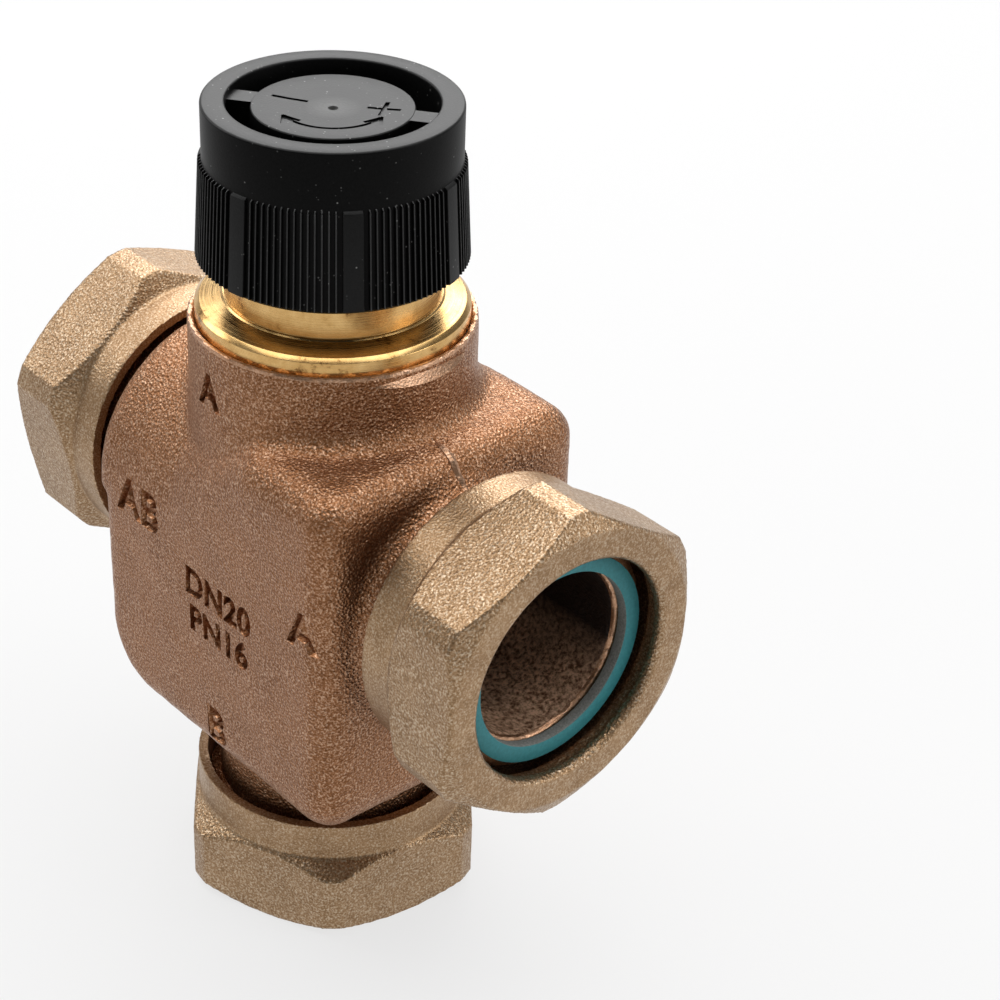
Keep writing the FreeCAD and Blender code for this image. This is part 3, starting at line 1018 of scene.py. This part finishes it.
def nutBlank():
    plan = unionNutPlan
    low = -plan["height"]
    hexLow = -plan["hexHeight"]
    faceDrop = (plan["cornerRadius"] - plan["faceRadius"]) * math.tan(math.radians(plan["faceSlope"]))
    shoulder = (plan["cornerRadius"] - plan["collarRadius"]) * math.tan(math.radians(plan["shoulderSlope"]))
    corner = plan["acrossFlats"] / 2 / math.cos(math.pi / plan["sides"])
    depth = plan["hexHeight"] + shoulder
    piece = startFrom(bpy.ops.mesh.primitive_cylinder_add, "unionNut", vertices=plan["sides"],
                      radius=corner * mm, depth=depth * mm, location=(0, 0, -depth / 2 * mm))
    settle(piece)
    envelope = turnedPiece("nutEnvelope", [
        (0, 0),
        (plan["faceRadius"], 0),
        (plan["cornerRadius"], -faceDrop),
        (plan["cornerRadius"], hexLow),
        (plan["collarRadius"], hexLow - shoulder),
        (0, hexLow - shoulder),
    ], plan["steps"], closed=False)
    combine(piece, envelope, "INTERSECT")
    collar = turnedPiece("nutCollar", [
        (0, hexLow),
        (plan["collarRadius"], hexLow),
        (plan["collarRadius"], low),
        (0, low),
    ], plan["steps"], closed=False)
    combine(piece, collar, "UNION")
    lipEdge = plan["lipRadius"] + plan["lipChamfer"]
    lipLow = -plan["lipThickness"]
    threadTop = lipLow - plan["coreLength"]
    bore = turnedPiece("nutBore", [
        (0, plan["boreBeyond"]),
        (lipEdge, plan["boreBeyond"]),
        (lipEdge, 0),
        (plan["lipRadius"], -plan["lipChamfer"]),
        (plan["lipRadius"], lipLow),
        (plan["coreRadius"], lipLow),
        (plan["coreRadius"], threadTop),
        (plan["threadBore"], threadTop),
        (plan["threadBore"], low - plan["boreBeyond"]),
        (0, low - plan["boreBeyond"]),
    ], plan["steps"], closed=False)
    combine(piece, bore, "DIFFERENCE")
    evenMesh(piece, plan)
    waveSurface(piece, "forged wave", plan["wave"], plan["waveDepth"])
    return piece


def unionNuts():
    plan = unionNutPlan
    brass = finishes["forged_brass"]

    def skinOf(face):
        turned = abs(face.normal.z) > plan["faceNormal"] or face.center.z / mm < plan["collarLow"]
        return nutFace if turned else brass

    blank = nutBlank()
    for port in ports:
        piece = sister(blank, "unionNut" + port.upper())
        paint(piece, [brass, nutFace], skinOf)
        swing(piece, plan["turns"][port])
        placeAtPort(piece, port)
        hangUp(piece, "nut_" + port, "forged_brass", "rounded", "union_nut_" + port)
    print("union nuts", len(blank.data.polygons), "faces each")
    discard(blank)


# Flat seals

sealPlan = {
    "inner": 11.35,
    "outer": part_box("port_seal_a")[1].y / mm,
    "thickness": 1.5,
    "edgeRound": 0.12,
    "edgeSegments": 2,
    "sharperThan": 30,
    "faceNormal": 0.6,
    "steps": 128,
}


def portSeals():
    plan = sealPlan
    teal = finishes["fibre_seal"]

    def skinOf(face):
        return teal if abs(face.normal.z) > plan["faceNormal"] else sealEdge

    for port in ports:
        axis = 2 if port == "b" else 0
        end = portEnds[port][axis]
        gap = min(abs(corner[axis] - end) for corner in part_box("port_seal_" + port)) / mm
        piece = turnedPiece("portSeal" + port.upper(), [
            (plan["inner"], -gap),
            (plan["outer"], -gap),
            (plan["outer"], -gap - plan["thickness"]),
            (plan["inner"], -gap - plan["thickness"]),
        ], plan["steps"])
        roundEdges(piece, plan)
        paint(piece, [teal, sealEdge], skinOf)
        placeAtPort(piece, port)
        hangUp(piece, "seal_" + port, "fibre_seal", "rounded", "port_seal_" + port)
    print("port seals done")


# Bonnet

bonnetPlan = {
    "stemHole": 3.3,
    "bottom": 71.2,
    "thread": 14.0,
    "threadChamfer": 1.0,
    "flangeLow": 81.4,
    "flangeTop": 83.85,
    "flange": 16.55,
    "chamfer": 0.55,
    "chamferDrop": 0.48,
    "cone": 0.62,
    "neckFoot": 13.4,
    "neckEdge": 13.18,
    "neck": 12.95,
    "neckRise": 0.22,
    "neckTop": 88.6,
    "threadTop": 95.5,
    "cup": 11.9,
    "cupTop": 97.5,
    "cupBore": 9.5,
    "cupFloor": 85.5,
    "packing": 5.05,
    "web": 72.7,
    "steps": 160,
    "edgeRound": 0.05,
    "edgeSegments": 3,
    "sharperThan": 20,
}


def bonnetTurned():
    plan = bonnetPlan
    chamfer = plan["threadChamfer"]
    coneTop = plan["flangeTop"] + plan["cone"]
    piece = turnedPiece("bonnetTurned", [
        (plan["stemHole"], plan["bottom"]),
        (plan["thread"] - chamfer, plan["bottom"]),
        (plan["thread"], plan["bottom"] + chamfer),
        (plan["thread"], plan["flangeLow"]),
        (plan["flange"], plan["flangeLow"]),
        (plan["flange"], plan["flangeTop"] - plan["chamferDrop"]),
        (plan["flange"] - plan["chamfer"], plan["flangeTop"]),
        (plan["neckFoot"], coneTop),
        (plan["neckEdge"], coneTop + plan["neckRise"]),
        (plan["neck"], coneTop + plan["neckRise"]),
        (plan["neck"], plan["neckTop"]),
        (plan["thread"], plan["neckTop"] + plan["thread"] - plan["neck"]),
        (plan["thread"], plan["threadTop"] - chamfer),
        (plan["thread"] - chamfer, plan["threadTop"]),
        (plan["cup"], plan["threadTop"]),
        (plan["cup"], plan["cupTop"]),
        (plan["cupBore"], plan["cupTop"]),
        (plan["cupBore"], plan["cupFloor"]),
        (plan["packing"], plan["cupFloor"]),
        (plan["packing"], plan["web"]),
        (plan["stemHole"], plan["web"]),
    ], plan["steps"])
    roundEdges(piece, plan)
    hangUp(piece, "body", "turned_brass", "turned", "bonnet")
    print("bonnet", len(piece.data.polygons), "faces")


# Return spring under the cap

springPlan = {
    "wire": 0.55,
    "radius": 7.9,
    "coils": 5,
    "steps": 40,
    "wireSides": 12,
    "foot": 86.3,
    "travel": 4.5,
}


def returnSpring():
    plan = springPlan
    low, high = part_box("return_spring")
    start = low.z / mm + plan["wire"]
    pitch = ((high - low).z / mm - 2 * plan["wire"]) / plan["coils"]
    piece = startFrom(bpy.ops.mesh.primitive_circle_add, "returnSpring", vertices=plan["wireSides"],
                      radius=plan["wire"] * mm, location=(plan["radius"] * mm, 0, start * mm),
                      rotation=(math.pi / 2, 0, 0))
    settle(piece)
    windUp(piece, pitch, plan["coils"], plan["steps"], plan["wireSides"])
    hangUp(piece, "body", "stainless_steel", "rounded", "return_spring")
    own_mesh(piece)


# Adjusting cap

capLow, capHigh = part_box("adjusting_cap")
capPlan = {
    "bottom": capLow.z / mm,
    "top": capHigh.z / mm,
    "radius": 15.2,
    "skirt": 15.85,
    "skirtChamfer": 0.4,
    "bandHeight": 6.7,
    "threadBore": 14.12,
    "boreChamfer": 0.5,
    "step": 100.6,
    "slot": 12.35,
    "disc": 9.5,
    "discRecess": 0.75,
    "discThickness": 2.4,
    "dish": 0.35,
    "dishMiddle": 0.6,
    "dishMiddleDrop": 0.55,
    "post": 5.0,
    "postLow": 102.6,
    "padBore": 3.25,
    "padDepth": 2.0,
    "spokeAngle": 37,
    "spokeWidth": 3.0,
    "spokeRecess": 0.85,
    "spokeLap": 0.6,
    "spokeLift": 0.1,
    "steps": 128,
    "edgeRound": 0.3,
    "edgeSegments": 3,
    "sharperThan": 50,
    "topNormal": 0.3,
}
bandLow = capPlan["top"] - capPlan["bandHeight"]
discTop = capPlan["top"] - capPlan["discRecess"]


def capShell():
    plan = capPlan
    shell = turnedPiece("capShell", [
        (plan["threadBore"] + plan["boreChamfer"], plan["bottom"]),
        (plan["skirt"] - plan["skirtChamfer"], plan["bottom"]),
        (plan["skirt"], plan["bottom"] + plan["skirtChamfer"]),
        (plan["radius"], bandLow),
        (plan["radius"], plan["top"]),
        (plan["slot"], plan["top"]),
        (plan["slot"], plan["step"]),
        (plan["threadBore"], plan["step"]),
        (plan["threadBore"], plan["bottom"] + plan["boreChamfer"]),
    ], plan["steps"])
    roundEdges(shell, plan)
    return shell


def capCore():
    # dished disc on a post that takes the thrust pad
    plan = capPlan
    padTop = plan["postLow"] + plan["padDepth"]
    discLow = discTop - plan["discThickness"]
    core = turnedPiece("capCore", [
        (0, padTop),
        (plan["padBore"], padTop),
        (plan["padBore"], plan["postLow"]),
        (plan["post"], plan["postLow"]),
        (plan["post"], discLow),
        (plan["disc"], discLow),
        (plan["disc"], discTop),
        (plan["disc"] * plan["dishMiddle"], discTop - plan["dish"] * plan["dishMiddleDrop"]),
        (0, discTop - plan["dish"]),
    ], plan["steps"], closed=False)
    roundEdges(core, plan)
    return core


def capSpokes():
    plan = capPlan
    inner = plan["disc"] - plan["spokeLap"]
    outer = (plan["slot"] + plan["radius"]) / 2
    half = plan["spokeWidth"] / 2
    spokes = []
    for side in (0, 180):
        spoke = block("capSpoke", (inner, -half, plan["postLow"] + plan["spokeLift"]),
                      (outer, half, plan["top"] - plan["spokeRecess"]))
        swing(spoke, plan["spokeAngle"] + side)
        spokes.append(spoke)
    return spokes


# Minus, plus, double arrow and the small pit in the middle of the cap's disc

capMarks = {
    "depth": 0.3,
    "stroke": 0.55,
    "above": 1.0,
    "dishShare": 0.45,
    "minusAt": (-4.87, -2.50),
    "minusLength": 3.8,
    "minusTurn": -3,
    "plusAt": (3.93, 4.29),
    "plusLength": 3.4,
    "arcRadius": 6.2,
    "arcFrom": -102.0,
    "arcTo": 22.5,
    "arcSteps": 28,
    "arrowLength": 2.0,
    "arrowSpread": 28,
    "pitRadius": 0.9,
    "pitTip": 0.3,
    "pitDepth": 0.8,
    "pitSides": 24,
}


def discPoint(radius, degrees):
    angle = math.radians(degrees)
    return (radius * math.cos(angle), radius * math.sin(angle))


def lineThrough(point, length, degrees):
    # both ends of a line with the point in its middle
    step = discPoint(length / 2, degrees)
    return (point[0] - step[0], point[1] - step[1]), (point[0] + step[0], point[1] + step[1])


def markStroke(start, end, level):
    # straight groove cutter between two points of the disc
    marks = capMarks
    length = math.hypot(end[0] - start[0], end[1] - start[1])
    half = marks["stroke"] / 2
    piece = block("markStroke", (-half, -half, -marks["depth"]), (length + half, half, marks["above"]))
    swing(piece, math.degrees(math.atan2(end[1] - start[1], end[0] - start[0])))
    piece.location = (start[0] * mm, start[1] * mm, level * mm)
    settle(piece)
    return piece


def capMarkCutters():
    marks = capMarks
    level = discTop - capPlan["dish"] * marks["dishShare"]
    across = capPlan["spokeAngle"]
    lines = [
        lineThrough(marks["minusAt"], marks["minusLength"], across + marks["minusTurn"]),
        lineThrough(marks["plusAt"], marks["plusLength"], across),
        lineThrough(marks["plusAt"], marks["plusLength"], across + 90),
    ]
    for tip, heading in ((marks["arcFrom"], -1), (marks["arcTo"], 1)):
        point = discPoint(marks["arcRadius"], tip)
        back = tip - heading * 90
        for turn in (-marks["arrowSpread"], marks["arrowSpread"]):
            barb = discPoint(marks["arrowLength"], back + turn)
            lines.append((point, (point[0] + barb[0], point[1] + barb[1])))
    cutters = [markStroke(start, end, level) for start, end in lines]
    half = marks["stroke"] / 2
    arc = upright("markArc", (marks["arcRadius"] - half, level - marks["depth"]),
                  (marks["arcRadius"] + half, level + marks["above"]))
    sweepRound(arc, marks["arcTo"] - marks["arcFrom"], marks["arcSteps"])
    swing(arc, marks["arcFrom"])
    cutters.append(arc)
    pit = startFrom(bpy.ops.mesh.primitive_cone_add, "markPit", vertices=marks["pitSides"],
                    radius1=marks["pitTip"] * mm, radius2=marks["pitRadius"] * mm,
                    depth=marks["pitDepth"] * mm, location=(0, 0, (discTop - capPlan["dish"]) * mm))
    settle(pit)
    cutters.append(pit)
    return cutters


def handCap():
    black = finishes["black_plastic"]

    def skinOf(face):
        # faces that don't look up take the copy with painted shade
        return black if face.normal.z > capPlan["topNormal"] else shadedCapSide

    piece = capShell()
    for added in [capCore()] + capSpokes():
        combine(piece, added, "UNION")
    for cutter in capMarkCutters():
        combine(piece, cutter, "DIFFERENCE")
    piece.name = "handCap"
    paint(piece, [black, shadedCapSide], skinOf)
    hangUp(piece, "cap", "black_plastic", "edged", "adjusting_cap")
    print("cap", len(piece.data.polygons), "faces")


# Ribs and plain bars of the cap's skirt

ribPlan = {
    "sectors": 7,
    "ribsPerSector": 14,
    "barAngle": 8.4,
    "barStart": -29.7,
    "crestLow": 16.3,
    "crestHigh": 15.63,
    "crestMargin": 0.05,
    "root": 14.9,
    "halfFoot": 0.19,
    "halfCrest": 0.08,
    "lowGap": 0.15,
    "topSlant": 0.45,
    "lowSlant": 0.35,
    "barSteps": 6,
    "edgeRound": 0.06,
    "edgeSegments": 1,
    "sharperThan": 40,
    "crestNormal": 0.5,
}
ribLow = capPlan["bottom"] + ribPlan["lowGap"]
ribCrestFrom = ribPlan["crestLow"] - ribPlan["crestMargin"]


def drawIn(piece):
    # crest leans in towards the band and its two ends are slanted
    plan = ribPlan
    middle = (capPlan["bottom"] + capPlan["top"] - capPlan["bandHeight"]) / 2 * mm
    for vertex in piece.data.vertices:
        if vertex.co.x < ribCrestFrom * mm:
            continue
        if vertex.co.z > middle:
            vertex.co.x = plan["crestHigh"] * mm
            vertex.co.z -= plan["topSlant"] * mm
        else:
            vertex.co.z += plan["lowSlant"] * mm


def oneRib():
    # thin upright rib, standing in the skirt
    plan = ribPlan

    def skinOf(face):
        # crests take the copy with the painted highlight, flanks the copy with painted shade
        return ribCrestHighlight if face.normal.x > plan["crestNormal"] else shadedCapSide

    rib = block("capRib", (plan["root"], -plan["halfFoot"], ribLow),
                (plan["crestLow"], plan["halfFoot"], bandLow))
    for vertex in rib.data.vertices:
        if vertex.co.x > ribCrestFrom * mm:
            vertex.co.y *= plan["halfCrest"] / plan["halfFoot"]
    drawIn(rib)
    roundEdges(rib, plan)
    paint(rib, [shadedCapSide, ribCrestHighlight], skinOf)
    return rib


def oneBar():
    # plain bar between two fields of ribs
    plan = ribPlan
    bar = upright("capBar", (plan["root"], ribLow), (plan["crestLow"], bandLow))
    drawIn(bar)
    sweepRound(bar, plan["barAngle"], plan["barSteps"])
    swing(bar, -plan["barAngle"] / 2)
    roundEdges(bar, plan)
    bar.data.materials.append(finishes["black_plastic"])
    return bar


def capRibs():
    plan = ribPlan
    sector = 360 / plan["sectors"]
    pitch = (sector - plan["barAngle"]) / (plan["ribsPerSector"] + 1)
    firstRib = oneRib()
    firstBar = oneBar()
    grips = []
    for number in range(plan["sectors"]):
        middle = plan["barStart"] + number * sector
        bar = sister(firstBar, "capBar")
        swing(bar, middle)
        grips.append(bar)
        for count in range(plan["ribsPerSector"]):
            rib = sister(firstRib, "capRib")
            swing(rib, middle + plan["barAngle"] / 2 + (count + 1) * pitch)
            grips.append(rib)
    discard(firstRib)
    discard(firstBar)
    piece = joinAll(grips, "capRibs")
    hangUp(piece, "cap", "black_plastic", "edged")
    print("cap ribs", len(piece.data.polygons), "faces")


castBody()
for port in ports:
    portThread(port)
unionNuts()
portSeals()
bonnetTurned()
returnSpring()
handCap()
capRibs()


# Floor, light and camera

stagePlan = {
    "floorSize": 6000.0,
    "floorLevel": -0.05,
    "floorTone": 0.50,
    "floorRough": 0.9,
    "floorSheen": 0.1,
    "floorWhite": 0.74,
    "sky": [(0.10, 0.92), (0.20, 0.25), (0.45, 0.15)],
    "lamps": [
        {"name": "keyBox", "at": (-140, 120, 640), "size": (1060, 1060), "power": 9.8},
        {"name": "backBox", "at": (-480, 440, 440), "size": (520, 320), "power": 2.3},
        {"name": "leftBox", "at": (-560, -260, 380), "size": (260, 260), "power": 0.9},
        {"name": "rightBox", "at": (560, 400, 290), "size": (320, 280), "power": 1.1},
    ],
    "aim": (0, 0, 52),
    "cameraAt": (200.12, -155.70, 214.61),
    "cameraRight": (0.65967, 0.75066, 0.03661),
    "cameraDown": (0.4205, -0.32827, -0.84582),
    "cameraForward": (-0.62291, 0.57336, -0.5322),
    "lens": 85.40,
    "sensorWidth": 36,
    "clipStart": 10.0,
}


def grey(tone):
    return (tone, tone, tone)


def studioFloor():
    # grey under the light, but nearly white to the eye and in reflections
    plan = stagePlan
    floor = startFrom(bpy.ops.mesh.primitive_plane_add, "studioFloor", size=plan["floorSize"] * mm,
                      location=(0, 0, plan["floorLevel"] * mm))
    paper = newFinish("pale floor")
    shader = shaderOf(paper)
    setSockets(shader, {"Base Color": (*grey(plan["floorTone"]), 1), "Roughness": plan["floorRough"],
                        "Specular IOR Level": plan["floorSheen"]})
    rays = addNode(paper, "ShaderNodeLightPath")
    seen = mathOf(paper, "MAXIMUM", (rays, "Is Camera Ray"), (rays, "Is Glossy Ray"))
    through = mathOf(paper, "MAXIMUM", (seen, 0), (rays, "Is Transmission Ray"))
    share = mathOf(paper, "MULTIPLY", (through, 0))
    setSockets(share, {1: plan["floorWhite"]})
    white = addNode(paper, "ShaderNodeEmission", sockets={"Color": (1, 1, 1, 1), "Strength": 1.0})
    mix = addNode(paper, "ShaderNodeMixShader")
    for number, source in enumerate((share, shader, white)):
        plug(paper, source, 0, mix, number)
    plug(paper, mix, 0, paper.node_tree.nodes["Material Output"], "Surface")
    floor.data.materials.append(paper)


def studioLight():
    # sky that is bright at the horizon, and soft boxes
    plan = stagePlan
    world = bpy.data.worlds.new("studio")
    world.use_nodes = True
    bpy.context.scene.world = world
    axes = axesOf(world, "Generated")
    sky = toneRamp(world, axes, [(level, grey(tone)) for level, tone in plan["sky"]], "Z")
    plug(world, sky, "Color", world.node_tree.nodes["Background"], "Color")
    aim = Vector(plan["aim"]) * mm
    for lamp in plan["lamps"]:
        light = bpy.data.lights.new(lamp["name"], "AREA")
        light.shape = "RECTANGLE"
        light.size = lamp["size"][0] * mm
        light.size_y = lamp["size"][1] * mm
        light.energy = lamp["power"]
        holder = bpy.data.objects.new(lamp["name"], light)
        bpy.context.scene.collection.objects.link(holder)
        holder.location = Vector(lamp["at"]) * mm
        holder.rotation_euler = (aim - holder.location).to_track_quat("-Z", "Y").to_euler()


def studioCamera():
    plan = stagePlan
    view = bpy.data.cameras.new("camera")
    view.lens = plan["lens"]
    view.sensor_width = plan["sensorWidth"]
    view.clip_start = plan["clipStart"] * mm
    holder = bpy.data.objects.new("camera", view)
    bpy.context.scene.collection.objects.link(holder)
    right = Vector(plan["cameraRight"])
    up = -Vector(plan["cameraDown"])
    back = -Vector(plan["cameraForward"])
    turn = Matrix((right, up, back)).transposed()
    holder.matrix_world = Matrix.Translation(Vector(plan["cameraAt"]) * mm) @ turn.to_4x4()
    bpy.context.scene.camera = holder


studioFloor()
studioLight()
studioCamera()
bpy.context.scene.view_settings.view_transform = "Standard"
print("stage set")
